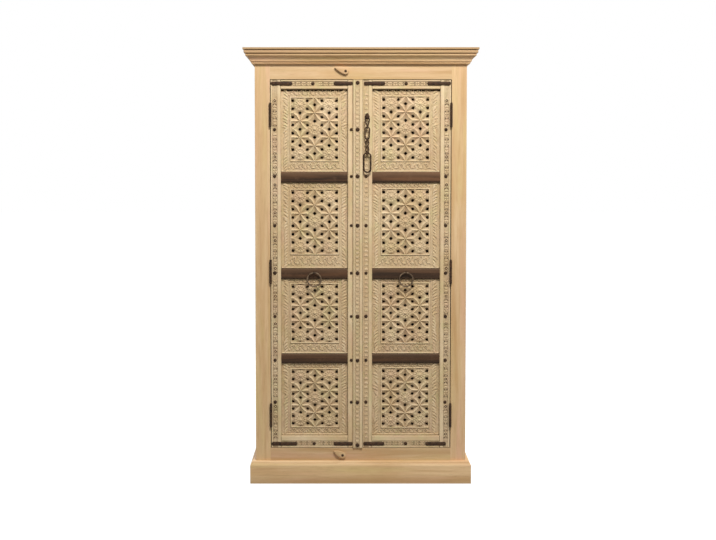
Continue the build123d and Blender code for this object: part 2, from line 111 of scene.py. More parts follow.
def tinted(tree, colour, *tints):
    """Lays tints over a colour, each (mask, share, tint). A mask is a socket, or a pattern with
    the values between which it sets in."""
    if not isinstance(colour, bpy.types.NodeSocket):
        colour = (*colour, 1)
    for mask, share, tint in tints:
        if isinstance(mask, tuple):
            mask = span(tree, *mask)
        mixed = {0: times(tree, mask, share), 6: colour, 7: (*tint, 1)}
        colour = add(tree, "ShaderNodeMix", mixed, data_type="RGBA").outputs[2]
    return colour


def in_sight(tree):
    """1 on rays that reach the camera, 0 on those that only carry light."""
    rays = add(tree, "ShaderNodeLightPath").outputs
    mirrored = calc(tree, "MAXIMUM", rays["Is Glossy Ray"], rays["Is Transmission Ray"])
    return calc(tree, "MAXIMUM", rays["Is Camera Ray"], mirrored)


def noise(tree, *values):
    """Cloudy noise between 0 and 1, from its place, scale, detail, roughness and distortion."""
    sockets = ("Vector", "Scale", "Detail", "Roughness", "Distortion")
    return add(tree, "ShaderNodeTexNoise", dict(zip(sockets, values))).outputs["Fac"]


def axis_of(tree, where, axis):
    """One coordinate of a place."""
    return add(tree, "ShaderNodeSeparateXYZ", {0: where}).outputs[axis]


def band_between(tree, value, low, high):
    """The span between two values in millimetres."""
    return span(tree, value, low * MM, high * MM)


def stretched(tree, where, along, ratio, seed):
    """Coordinates drawn out along the grain, moved to a fresh piece of the pattern."""
    scale = [ratio if axis == along else 1 for axis in "XYZ"]
    shift = (seed * 1.37 % 7, seed * 2.11 % 5, seed * 3.73 % 9)
    made = add(tree, "ShaderNodeMapping", {"Vector": where, "Scale": scale, "Location": shift})
    return made.outputs[0]


def along_grain(tree, along, seed):
    """The place on the piece, and a maker of noise that is drawn out along the grain."""
    where = add(tree, "ShaderNodeTexCoord").outputs["Object"]

    def pattern(ratio, step, *values):
        """Noise at the given values, in the step's own piece of the pattern."""
        return noise(tree, stretched(tree, where, along, ratio, seed + step), *values)

    return where, pattern


def new_material(name, roughness, metallic=0.0, specular=0.3):
    """A material with its tree, and the inputs of its principled shader."""
    material = bpy.data.materials.new(name)
    material.use_nodes = True
    inputs = material.node_tree.nodes["Principled BSDF"].inputs
    for socket, value in (("Roughness", roughness), ("Metallic", metallic),
                          ("Specular IOR Level", specular)):
        inputs[socket].default_value = value
    return material, material.node_tree, inputs


def edge_mask(tree, radius):
    """1 on arrises within about the radius, and the softened normal that rounds them."""
    soft = add(tree, "ShaderNodeBevel", {"Radius": radius * MM}, samples=4).outputs[0]
    plain = add(tree, "ShaderNodeNewGeometry").outputs["Normal"]
    dot = add(tree, "ShaderNodeVectorMath", {0: soft, 1: plain}, operation="DOT_PRODUCT")
    return span(tree, dot.outputs["Value"], 0.995, 0.85), soft


def recess(tree, distance):
    """1 deep inside corners and cuts, 0 in the open."""
    open_share = add(tree, "ShaderNodeAmbientOcclusion", {"Distance": distance * MM}, samples=8)
    return calc(tree, "SUBTRACT", 1.0, open_share.outputs["AO"])


def finish_surface(tree, inputs, colour, height, strength, depth, normal, rough=None):
    """Joins colour and bump to the shader, and roughness as (least, pattern, its share)."""
    values = {"Height": height, "Strength": strength, "Distance": depth * MM, "Normal": normal}
    bump = add(tree, "ShaderNodeBump", values)
    tree.links.new(colour, inputs["Base Color"])
    tree.links.new(bump.outputs[0], inputs["Normal"])
    if rough:
        least, pattern, share = rough
        roughness = calc(tree, "ADD", least, times(tree, pattern, share))
        tree.links.new(roughness, inputs["Roughness"])


# ---- finishes
def planed_wood(name, along, seed, tone, shade_and_grime=0.55, darkened_span=None, rubbed=0.35):
    """Pale waxed hardwood: broad streaks, growth lines, pores, pink and olive tints, knots, and
    grime with painted shade in its corners. darkened_span is the pair of heights from which and
    to which it darkens; rubbed is how pale the arrises are: worn, and on the plinth a painted
    highlight."""
    material, tree, inputs = new_material(name, 0.6)
    where, pattern = along_grain(tree, along, seed)
    broad = pattern(0.05, 0, 26, 4, 0.6, 0.6)
    lines = pattern(0.05, 0, 95, 5, 0.65, 1.2)
    pores = pattern(0.045, 3, 620, 2, 0.5)
    clouds = pattern(0.35, 5, 7, 4, 0.6)
    tint = pattern(0.10, 8, 17, 3, 0.55)
    pale, deep, pink, olive = [[tone * c for c in hue] for hue in (
        (0.83, 0.59, 0.335), (0.63, 0.395, 0.185), (0.80, 0.49, 0.31), (0.74, 0.57, 0.26))]
    knot_spots = stretched(tree, where, along, 0.45, seed + 2)
    knots = add(tree, "ShaderNodeTexVoronoi", {"Vector": knot_spots, "Scale": 3.1})
    fine = span(tree, pores, 0.60, 0.74)
    edge, normal = edge_mask(tree, 1.4)
    colour = tinted(
        tree, pale,
        ((broad, 0.34, 0.68), 1, deep),
        ((tint, 0.52, 0.70), 0.7, pink),
        ((tint, 0.47, 0.30), 0.7, olive),
        ((lines, 0.50, 0.70), 0.42, (0.52, 0.31, 0.14)),
        ((clouds, 0.5, 0.72), 0.5, (0.60, 0.34, 0.13)),
        ((knots.outputs["Distance"], 0.055, 0.012), 0.6, (0.40, 0.19, 0.07)),
        (fine, 0.30, (0.42, 0.25, 0.12)),
        # worn pale arrises; where rubbed is large, a painted highlight
        (edge, rubbed, (0.90, 0.68, 0.42)),
        # painted shade and grime: darker deep inside corners and grooves, by shade_and_grime
        ((recess(tree, 8), 0.35, 0.95), shade_and_grime, (0.20, 0.11, 0.05)))
    # Darker between two heights: on the cornice this is painted shade under the cap.
    if darkened_span:
        share = band_between(tree, axis_of(tree, where, "Z"), *darkened_span)
        colour = tinted(tree, colour, (share, 0.62, (0.36, 0.22, 0.10)))
    height = calc(tree, "SUBTRACT", times(tree, lines, 0.5), fine)
    finish_surface(tree, inputs, colour, height, 0.35, 0.25, normal, (0.48, broad, 0.25))
    return material


def limed_wood(name, along, seed, ground=None, shadow=None):
    """Old carved wood under a worn lime wash: chalky ridges, brown grime and painted shade in the
    cuts. ground is the (shallow, deep, end) depth along Y between which cut-away wood darkens, and
    by how much. shadow is the height above which a painted shadow lies under a rail."""
    material, tree, inputs = new_material(name, 0.82, specular=0.18)
    where, pattern = along_grain(tree, along, seed)
    grain = pattern(0.07, 0, 180, 4, 0.6, 0.8)
    patches = pattern(0.55, 4, 9, 4, 0.6, 0.5)
    tint = pattern(0.8, 9, 14, 3, 0.6)
    flakes = pattern(0.8, 12, 95, 4, 0.7)
    shade = add(tree, "ShaderNodeAttribute", attribute_name="shade").outputs["Fac"]
    colour = tinted(
        tree, (0.84, 0.66, 0.42),
        ((patches, 0.36, 0.66), 1, (0.71, 0.52, 0.285)),
        ((tint, 0.52, 0.68), 0.6, (0.77, 0.53, 0.35)),
        ((tint, 0.46, 0.30), 0.55, (0.67, 0.60, 0.30)),
        ((flakes, 0.58, 0.70), 0.30, (0.40, 0.25, 0.13)),
        ((grain, 0.52, 0.75), 0.28, (0.44, 0.29, 0.16)),
        (shade, 0.30, (0.44, 0.30, 0.17)))
    if ground:
        shallow, deep, end, darkness = ground
        depth = axis_of(tree, where, "Y")
        sunk = times(tree, band_between(tree, depth, shallow, deep),
                     band_between(tree, depth, end, end - 0.5))
        patchy = calc(tree, "ADD", 0.4, times(tree, span(tree, flakes, 0.35, 0.65), 0.6))
        colour = tinted(tree, colour, (sunk, times(tree, patchy, darkness), (0.26, 0.155, 0.075)))
    edge, normal = edge_mask(tree, 0.9)
    colour = tinted(
        tree, colour,
        (edge, 0.40, (0.90, 0.74, 0.50)),
        # painted shade and grime: darker in narrow cuts and deep inside corners
        ((recess(tree, 3.5), 0.16, 0.60), 0.65, (0.25, 0.15, 0.075)),
        ((recess(tree, 14), 0.42, 0.98), 0.75, (0.13, 0.075, 0.035)))
    # painted shadow: a near-black band under the rail
    if shadow:
        under = band_between(tree, axis_of(tree, where, "Z"), shadow - 1.5, shadow)
        colour = tinted(tree, colour, (under, 1, (0.045, 0.026, 0.012)))
    height = calc(tree, "ADD", times(tree, grain, 0.6), flakes)
    finish_surface(tree, inputs, colour, height, 0.35, 0.35, normal)
    return material


def dark_wood(name, along, seed, undersides=()):
    """Old oiled hardwood, nearly black, with red-brown streaks and rubbed edges. undersides are
    the heights of the lower edges, painted near black as shade, with a paler painted highlight
    above."""
    material, tree, inputs = new_material(name, 0.6, specular=0.22)
    where, pattern = along_grain(tree, along, seed)
    streaks = pattern(0.06, 0, 34, 5, 0.62, 0.8)
    pores = pattern(0.06, 0, 420, 3, 0.6)
    worn = noise(tree, where, 30, 4, 0.65)
    colour = tinted(
        tree, (0.026, 0.012, 0.005),
        ((streaks, 0.40, 0.64), 1, (0.155, 0.072, 0.033)),
        ((worn, 0.54, 0.74), 0.5, (0.20, 0.112, 0.060)),
        ((pores, 0.55, 0.7), 0.5, (0.018, 0.010, 0.008)))
    if undersides:
        up = axis_of(tree, where, "Z")
        wavy = calc(tree, "ADD", up, times(tree, streaks, 6 * MM))
        for low in undersides:
            # painted highlight: a paler band towards each bar's top; painted shade: its lower edge
            # near black
            band = times(tree, band_between(tree, wavy, low + 26, low + 40),
                         band_between(tree, up, low + 50, low + 48))
            black = times(tree, band_between(tree, wavy, low + 17, low + 9),
                          band_between(tree, up, low - 4, low - 2))
            colour = tinted(tree, colour, (band, 0.45, (0.23, 0.130, 0.072)),
                            (black, 0.75, (0.030, 0.014, 0.006)))
        # the bars lower down are darker
        lower_down = band_between(tree, up, 1200, 800)
        colour = tinted(tree, colour, (lower_down, 0.45, (0.030, 0.016, 0.007)))
    edge, normal = edge_mask(tree, 1.6)
    rubbed = times(tree, edge, span(tree, worn, 0.35, 0.62))
    colour = tinted(tree, colour, (rubbed, 0.7, (0.25, 0.15, 0.10)),
                    # painted shade: darker deep inside corners
                    ((recess(tree, 12), 0.3, 0.95), 0.6, (0.012, 0.008, 0.006)))
    height = calc(tree, "SUBTRACT", times(tree, streaks, 0.7), pores)
    finish_surface(tree, inputs, colour, height, 0.4, 0.4, normal, (0.48, streaks, 0.35))
    return material


def forged_iron(name, seed, rust=0.5, handled=0.0):
    """Hand-forged iron: black scale, brown rust, bright where hands rub it. handled is the share
    that hands have polished through to bare grey-brown metal."""
    material, tree, inputs = new_material(name, 0.65, metallic=0.2, specular=0.2)
    pattern = along_grain(tree, "X", seed)[1]
    blotch = pattern(1, 0, 85, 4, 0.65)
    dents = pattern(1, 0, 160, 2, 0.5)
    grit = pattern(1, 0, 900, 2, 0.6)
    edge, normal = edge_mask(tree, 0.6)
    colour = tinted(
        tree, (0.018, 0.010, 0.006),
        ((blotch, 0.40, 0.66), 1, (0.078, 0.039, 0.019)),
        ((grit, 0.5, 0.72), rust, (0.14, 0.070, 0.035)),
        ((blotch, 0.34, 0.56), handled, (0.30, 0.215, 0.14)),
        (edge, 0.45, (0.19, 0.12, 0.07)))
    height = calc(tree, "ADD", dents, times(tree, grit, 0.15))
    finish_surface(tree, inputs, colour, height, 0.5, 0.6, normal, (0.42, blotch, 0.4))
    return material


# ---- floor and surroundings
world = bpy.data.worlds.new("surroundings")
scene.world = world
world.use_nodes = True
sky = world.node_tree
background = sky.nodes["Background"]
fill_level = 0.25
strength = calc(sky, "ADD", fill_level, times(sky, in_sight(sky), 1.0 - fill_level))
sky.links.new(strength, background.inputs["Strength"])
background.inputs["Color"].default_value = (1, 1, 1, 1)

floor_mesh = bpy.data.meshes.new("floor")
far = 40
floor_corners = [(-far, -far, 0), (far, -far, 0), (far, far, 0), (-far, far, 0)]
floor_mesh.from_pydata(floor_corners, [], [(0, 1, 2, 3)])
floor = shown("floor", floor_mesh)
paper, paper_tree, paper_inputs = new_material("pale_floor", 0.9, specular=0.0)
paper_inputs["Base Color"].default_value = (0.34, 0.34, 0.34, 1)
paper_inputs["Emission Color"].default_value = (1, 1, 1, 1)
glow = times(paper_tree, in_sight(paper_tree), 0.92)
paper_tree.links.new(glow, paper_inputs["Emission Strength"])
floor.data.materials.append(paper)


# ---- forms
# A form is (points, faces). Carved forms lie on the plane y = 0 and stand up towards -Y.
SINK = 0.4  # how far they reach into the wood under them


def joined(*forms):
    """Several forms as one."""
    points, faces = [], []
    for more_points, more_faces in forms:
        start = len(points)
        points += more_points
        faces += [tuple(start + n for n in face) for face in more_faces]
    return points, faces


def moved(form, x=0, y=0, z=0, turn=0, scale=(1, 1, 1)):
    """A form scaled, turned about Y so that X leans towards Z, and moved."""
    c, s = cos(turn), sin(turn)
    points = []
    for px, py, pz in form[0]:
        px, py, pz = px * scale[0], py * scale[1], pz * scale[2]
        points.append((x + c * px - s * pz, y + py, z + s * px + c * pz))
    return points, form[1]


def strips(rings, closed=False):
    """Faces between neighbouring rings of points, with capped ends where it isn't a loop."""
    count, size = len(rings), len(rings[0])
    points = [point for ring in rings for point in ring]
    faces = []
    for n in range(count if closed else count - 1):
        here, there = n * size, (n + 1) % count * size
        for k in range(size):
            after = (k + 1) % size
            faces.append((here + k, here + after, there + after, there + k))
    if not closed:
        faces += [tuple(range(size))[::-1], tuple(range((count - 1) * size, count * size))]
    return points, faces


def beside(path, n, closed):
    """The points behind and ahead of the nth point of a path."""
    if closed:
        return path[n - 1], path[(n + 1) % len(path)]
    return path[max(n - 1, 0)], path[min(n + 1, len(path) - 1)]


def rib(path, half_width, height, sides, closed=False):
    """A rounded rib that follows a path of (x, z). half_width and height are numbers, or
    functions of the share of the way."""
    rings = []
    for n, (x, z) in enumerate(path):
        behind, ahead = beside(path, n, closed)
        length = hypot(ahead[0] - behind[0], ahead[1] - behind[1])
        side = (-(ahead[1] - behind[1]) / length, (ahead[0] - behind[0]) / length)
        share = n / (len(path) - 1)
        wide = half_width(share) if callable(half_width) else half_width
        high = height(share) if callable(height) else height
        ring = []
        for k in range(sides):
            turn = pi * k / (sides - 1)
            out = wide * cos(turn)
            up = -SINK if k in (0, sides - 1) else high * sin(turn)
            ring.append((x + side[0] * out, -up, z + side[1] * out))
        rings.append(ring)
    return strips(rings, closed)


def circle(steps):
    """Angles that step once round."""
    return [2 * pi * k / steps for k in range(steps)]


def stacked(outline, levels):
    """An outline of (x, z) drawn at each (share of its size, y)."""
    return strips([[(x * share, y, z * share) for x, z in outline] for share, y in levels])


def dome(radius, height, around=8, rows=3):
    """A low round boss."""
    lifts = [pi / 2 * n / rows for n in range(rows)]
    levels = [(radius * cos(lift), -height * sin(lift) if lift else SINK) for lift in lifts]
    points, faces = stacked([(cos(t), sin(t)) for t in circle(around)], levels)
    faces.pop()
    top, last = len(points), len(points) - around
    points.append((0, -height, 0))
    faces += [(last + k, last + (k + 1) % around, top) for k in range(around)]
    return points, faces


def arc_path(radius, start, end, steps, squeeze=1.0):
    """Points along an arc from start to end, in degrees."""
    turns = [radians(start + (end - start) * n / steps) for n in range(steps + 1)]
    return [(radius * cos(t), radius * squeeze * sin(t)) for t in turns]


def soften(mesh, crease):
    """Shades a mesh smooth, but for edges sharper than the crease, in degrees."""
    mesh.shade_smooth()
    mesh.set_sharp_from_angle(angle=radians(crease))


def make_mesh(name, form):
    """A mesh from a form, in metres, with its faces pointing outwards."""
    mesh = bpy.data.meshes.new(name)
    mesh.from_pydata([tuple(c * MM for c in point) for point in form[0]], [], form[1])
    shape = bmesh.new()
    shape.from_mesh(mesh)
    bmesh.ops.recalc_face_normals(shape, faces=shape.faces)
    shape.to_mesh(mesh)
    shape.free()
    soften(mesh, 40)
    return mesh


def piece(name, form, material, body, slot, replaces=()):
    """A finished piece from a form."""
    mesh = make_mesh(name, form)
    mesh.materials.append(material)
    settle(name, mesh, body, replaces)


# ---- the strewing tree
def strewing_tree():
    """Sets one motif on every point, turned and sized by the point's attributes, with a
    little of the carver's unevenness."""
    tree = bpy.data.node_groups.new("strew_motifs", "GeometryNodeTree")
    for label, kind in (("Places", "Geometry"), ("Motif", "Object"), ("Uneven Turn", "Float"),
                        ("Uneven Size", "Float"), ("Seed", "Int"), ("Finish", "Material")):
        tree.interface.new_socket(label, in_out="INPUT", socket_type="NodeSocket" + kind)
    tree.interface.new_socket("Pieces", in_out="OUTPUT", socket_type="NodeSocketGeometry")
    given = tree.nodes.new("NodeGroupInput").outputs
    turn, size = [add(tree, "GeometryNodeInputNamedAttribute", {"Name": name}, data_type=kind)
                  for name, kind in (("turn", "FLOAT"), ("size", "FLOAT_VECTOR"))]

    def chance(low, high, step):
        """A number between low and high for each motif."""
        dice = add(tree, "FunctionNodeRandomValue", data_type="FLOAT")
        dice.inputs[2].default_value, dice.inputs[3].default_value = low, high
        tree.links.new(calc(tree, "ADD", given["Seed"], step), dice.inputs["Seed"])
        return dice.outputs[1]

    wobble = times(tree, chance(-1, 1, 0), given["Uneven Turn"])
    angle = calc(tree, "ADD", turn.outputs[0], wobble)
    euler = add(tree, "ShaderNodeCombineXYZ", {1: angle})
    grow = calc(tree, "ADD", 1.0, times(tree, chance(-1, 1, 1), given["Uneven Size"]))
    sized = add(tree, "ShaderNodeVectorMath", {0: size.outputs[0], "Scale": grow}, operation="SCALE")
    motif = add(tree, "GeometryNodeObjectInfo", {"Object": given["Motif"]})
    placed = add(tree, "GeometryNodeInstanceOnPoints", {
        "Points": given["Places"], "Instance": motif.outputs["Geometry"],
        "Rotation": euler.outputs[0], "Scale": sized.outputs[0]})
    shade = add(tree, "GeometryNodeStoreNamedAttribute",
                {"Geometry": placed.outputs[0], "Name": "shade"},
                data_type="FLOAT", domain="INSTANCE")
    tree.links.new(chance(0, 1, 2), shade.inputs["Value"])
    solid = add(tree, "GeometryNodeRealizeInstances", {"Geometry": shade.outputs[0]})
    coated = add(tree, "GeometryNodeSetMaterial",
                 {"Geometry": solid.outputs[0], "Material": given["Finish"]})
    tree.links.new(coated.outputs[0], tree.nodes.new("NodeGroupOutput").inputs[0])
    return tree


strew_motifs = strewing_tree()


def strewn(name, places, motif, material, seed, turn, size):
    """A plain mesh of a motif strewn over places, each (x, y, z, turn, (size x, y, z))."""
    points = bpy.data.meshes.new(name)
    points.from_pydata([tuple(c * MM for c in place[:3]) for place in places], [], [])
    turns = points.attributes.new("turn", "FLOAT", "POINT")
    turns.data.foreach_set("value", [-place[3] for place in places])
    sizes = points.attributes.new("size", "FLOAT_VECTOR", "POINT")
    sizes.data.foreach_set("vector", [c for place in places for c in place[4]])
    model, spread = shown("motif", make_mesh("motif", motif)), shown(name, points)
    modifier = spread.modifiers.new("strew", "NODES")
    modifier.node_group = strew_motifs
    given = {"Motif": model, "Uneven Turn": turn, "Uneven Size": size, "Seed": seed,
             "Finish": material}
    for socket in strew_motifs.interface.items_tree:
        if socket.in_out == "INPUT" and socket.name in given:
            modifier[socket.identifier] = given[socket.name]
    bpy.context.view_layer.update()
    graph = bpy.context.evaluated_depsgraph_get()
    result = bpy.data.meshes.new_from_object(spread.evaluated_get(graph))
    bpy.data.objects.remove(spread)
    bpy.data.objects.remove(model)
    return result


def settle(name, mesh, body, replaces):
    """Makes a finished mesh a piece that rides on a body."""
    made = shown(name, mesh)
    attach(made, body)
    if replaces:
        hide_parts(*replaces)


def strew(name, places, motif, material, body, slot, seed, turn=0.03, size=0.05, replaces=()):
    """A piece made of one motif set on many places."""
    settle(name, strewn(name, places, motif, material, seed, turn, size), body, replaces)


# ---- carried-over boards
grain_along = {
    "X": ("face_rail_top", "face_rail_bottom", "cornice_front", "cornice_cap", "plinth_front",
          "top_board", "bottom_board", "shelf_lower", "shelf_middle", "shelf_upper", "door_stop"),
    "Y": ("cornice_left", "cornice_right", "plinth_left", "plinth_right", "shelf_cleats"),
    "Z": ("face_stile_left", "face_stile_right", "side_left", "side_right", "back_boards"),
}
case_tones = {"face_rail_top": 0.92, "face_rail_bottom": 0.90}
cornice_shade_span = (1856, 1878)  # painted shade: the cornice's mouldings are darker towards the top, under the cap
plinth_foot_span = (45, -25)  # and the plinth's foot is darker towards the floor


def coat(node, material):
    """Gives a CAD node its finish."""
    finishes = nodes[node].data.materials
    if not finishes:
        finishes.append(material)
    for n in range(len(finishes)):
        finishes[n] = material


seed = 1
for along, names in grain_along.items():
    for node in names:
        look = {"tone": case_tones.get(node, 1.0)}
        if "cornice" in node:
            # painted light: the cornice's mouldings are made paler to make up for their shade under
            # the overhang; the cap is set darker
            look = {"tone": 0.92 if "cap" in node else 1.2, "shade_and_grime": 0.15, "darkened_span": cornice_shade_span}
        elif "plinth" in node:
            # painted highlight: the plinth's arrises are made much paler, as where light catches its
            # top lip; its corners also take more painted shade and grime
            look = {"tone": 1.1, "shade_and_grime": 0.7, "darkened_span": plinth_foot_span, "rubbed": 0.9}
        coat(node, planed_wood(f"planed_{node}", along, seed, **look))
        seed += 1

limed_members = ("top_rail", "bottom_rail", "hinge_stile", "meeting_stile", "jali_panel_1",
                 "jali_panel_2", "jali_panel_3", "jali_panel_4")
channel_ground = (-169.0, -168.2, -166, 0.42)
strip_ground = (-180.0, -179.2, -177, 0.42)
field_ground = (-157.3, -153.8, -141, 0.82)
lower_field_shaded_ground = (-157.5, -154.2, -141, 0.85)  # painted shade: the lower panels' cut-away ground darkens more and over a wider band
undersides = (1319, 898, 527)  # the lower edges of the dark bars, painted in shade
rail_shadow_from = 1717  # above this a painted shadow of the top rails lies on the first panels
limed = {}
for side in ("left", "right"):
    for member in limed_members:
        along, ground = "X" if "rail" in member else "Z", channel_ground
        if "panel" in member:
            ground = lower_field_shaded_ground if member[-1] in "34" else field_ground
        shadow = rail_shadow_from if member == "jali_panel_1" else None
        limed[side, member] = limed_wood(f"limed_{side}_{member}", along, seed, ground, shadow)
        coat(f"{side}_{member}", limed[side, member])
        seed += 1
    coat(f"{side}_bars", dark_wood(f"dark_{side}_bars", "X", seed, undersides))
    seed += 1
coat("left_centre_strip", limed_wood("limed_centre_strip", "Z", seed, strip_ground))
carving = {side: limed_wood(f"limed_{side}_carving", "Z", number) for side, number in
           (("left", 40), ("right", 41))}
# painted shade: a near-black finish for the floors of the wells and hoops, standing in for the depth
# of the cuts
cut_shade = dark_wood("painted_shade_in_cuts", "Z", 90)
iron = forged_iron("forged_iron", 3)
rusty = forged_iron("rusty_iron", 8, 0.8)
handled_iron = forged_iron("handled_iron", 12, 0.5, 0.6)

# ---- places on the doors
panel_face, panel_thick = -158, 18
border_ground = -2.2  # the border's ground lies this far behind the panel's face
in_groove = 8  # and it reaches this far into the grooves
column_pitch, field_half, field_margin = 31.8, 102.4, 25
field_heights = {"left": ((1415, 1687), (1008, 1287), (619, 875), (246, 499)),
                 "right": ((1415, 1692), (1006, 1290), (617, 877), (244, 503))}
field_aside = {"left": 1.5, "right": -2.4}  # each carver set the fields a little off the middle
panel_ends = ((1364, 1724), (943, 1319), (567.5, 898), (207, 527))
openings = {"left": (-348, -57), "right": (50, 346)}


def lattice_nodes(field):
    """The lattice's nodes as (x, z, is a rosette), with the height of half a row. Every third
    node of a column is a rosette."""
    row = (field[1] - field[0] - field_margin) / 7
    found = [(2 * column_pitch * column, row * level, (level - 3 * (column % 2)) % 6 == 0)
             for column in range(-2, 3) for level in range(-7, 8) if (column + level) % 2 == 0]
    return found, row


# ---- lattice tiles
spacing = 73.4  # between neighbouring nodes of an even lattice
apothem, corner_reach = spacing / 2, spacing / 3 ** 0.5
hole_long, hole_wide, hole_round = 8.0, 7.6, 1.3
hole_turn = atan2(hole_wide, apothem)
flower_reach, flower_floor = 27.6, -2.6
knob_top, knob_reach, inner_reach = 4.1, 6.6, 15.6  # a rosette's knob and its inner ring
crest_half, crest_low = 0.9, 1.2  # half the width of a crest's worn top, and its height at a node
swell, swell_reach = 6.5, 17


def hole_nearness(r, lean):
    """Below 1 inside a piercing. lean is the angle from the line to the neighbouring node."""
    inward, aside = max(apothem - r * cos(lean), 0), abs(r * sin(lean))
    return ((inward / hole_long) ** hole_round + (aside / hole_wide) ** hole_round) ** (
        1 / hole_round)


def tile_edge(lean):
    """How far a tile reaches: to the hexagon round its node, or to a piercing."""
    hexagon = apothem / cos(lean)
    if abs(lean) >= hole_turn:
        return hexagon
    low, high = apothem - hole_long - 2, hexagon
    for _ in range(30):
        middle = (low + high) / 2
        if hole_nearness(middle, lean) < 1:
            high = middle
        else:
            low = middle
    return low


def star_relief(r, lean):
    """Height over the panel's face of the crests that cross in a node and run to the middles
    of the triangles round it, with a hollow round every piercing between them."""
    aside = pi / 6 - abs(lean)
    crest = crest_low + 1.1 * sin(pi * min(1, r * cos(aside) / (corner_reach + 1)))
    off_crest = max(0, r * sin(aside) - crest_half)
    to_hole = max(0.1, r * sin(pi / 6) - crest_half)
    hollow = 7.4 * (1 - exp(-r / 8))
    return crest - hollow * (off_crest / to_hole) ** 0.62


def flower_relief(r, turn):
    """Height of a rosette: a knob, a ring of eight lobes and a ring of twelve."""
    lobe = abs(cos(4 * turn)) if r < inner_reach else abs(sin(6 * turn))
    profile = ((0, 4.0), (3.6, 3.3), (5.4, 1.9), (knob_reach, 0.5), (8.6, -0.5), (11.5, 0.3),
               (14.0, -0.1), (inner_reach, -1.4), (17.5, -0.5), (21.5, 0.3), (25.0, -0.5),
               (27.2, -1.8), (28.5, flower_floor))
    for (r0, h0), (r1, h1) in zip(profile, profile[1:]):
        if r <= r1:
            high = h0 + (h1 - h0) * (r - r0) / (r1 - r0)
            break
    return high - (1.9 * (1 - lobe) ** 2 if r > knob_reach else 0)


def tile(is_rosette):
    """One cell of the lattice round its node, from the carved face to the back."""
    leans = [radians(a) for a in (-30, -27, -22, -16)]
    leans += [hole_turn * share for share in (-1, -0.5, 0, 0.5, 1)]
    leans += [radians(a) for a in (16, 22, 27)]
    spokes = [(radians(30 + 60 * sector) + lean, lean) for sector in range(6) for lean in leans]
    steps = (0.05, 0.11, 0.19, 0.29, 0.40, 0.52, 0.64, 0.76, 0.87, 0.95, 1)
    if is_rosette:
        steps = (1.8, 3.6, 5.4, knob_reach, 8.6, 11.5, 14, inner_reach, 17.5, 21.5, 25,
                 flower_reach, 0.96, 1)
    rings = []
    for step in steps:  # a radius, or up to 1 a share of the way to the tile's edge
        ring = []
        for turn, lean in spokes:
            r = step if step > 1 else step * tile_edge(lean)
            high = star_relief(r, lean)
            if is_rosette and r < flower_reach:
                high = flower_relief(r, turn)
            elif is_rosette:
                rise = min(1, (r - flower_reach) / 4) ** 0.7
                high = flower_floor + (high - flower_floor) * rise
            ring.append((r * cos(turn), -high, r * sin(turn)))
        rings.append(ring)
    around = len(spokes)
    points, faces = strips(rings)
    del faces[-2:]
    points.append((0, -(knob_top if is_rosette else crest_low), 0))
    faces += [(k, (k + 1) % around, len(points) - 1) for k in range(around)]
    edge = (len(rings) - 1) * around
    back = len(points)
    points += [(x, panel_thick, z) for x, _, z in rings[-1]] + [(0, panel_thick, 0)]
    for k in range(around):
        after = (k + 1) % around
        faces.append((back + k, back + after, back + around))
        if abs(spokes[k][1]) <= hole_turn and abs(spokes[after][1]) <= hole_turn:
            faces.append((edge + k, edge + after, back + after, back + k))
    return points, faces


def swelling(x, z, row):
    """How far the crests swing out of the way, so that they ring each piercing that lies
    straight above or below a node."""
    moved_out = 0
    for column in (-1, 0, 1):
        from_hole = x - 2 * column_pitch * column
        level = z / row + (column + 1) % 2
        up = (level - 2 * round(level / 2)) * row
        near = hypot(abs(from_hole) - corner_reach / 2, up) / swell_reach
        moved_out += copysign(swell * max(0, 1 - near ** 2) ** 2, from_hole)
    return moved_out


def picture_frame(half_x, half_z, section):
    """A closed mitred frame whose section is (out from the opening, depth) pairs."""
    corners = ((-1, -1), (1, -1), (1, 1), (-1, 1))
    rings = [[(sx * (half_x + out), y, sz * (half_z + out)) for out, y in section]
             for sx, sz in corners]
    return strips(rings, True)


tile_overlap = 44  # tiles this far outside the field still reach into it
under_bead = 1.5  # how far the tiles run on
uneven, waver = 0.7, 38  # how unsteady the carver's hand was, and how finely it wavered


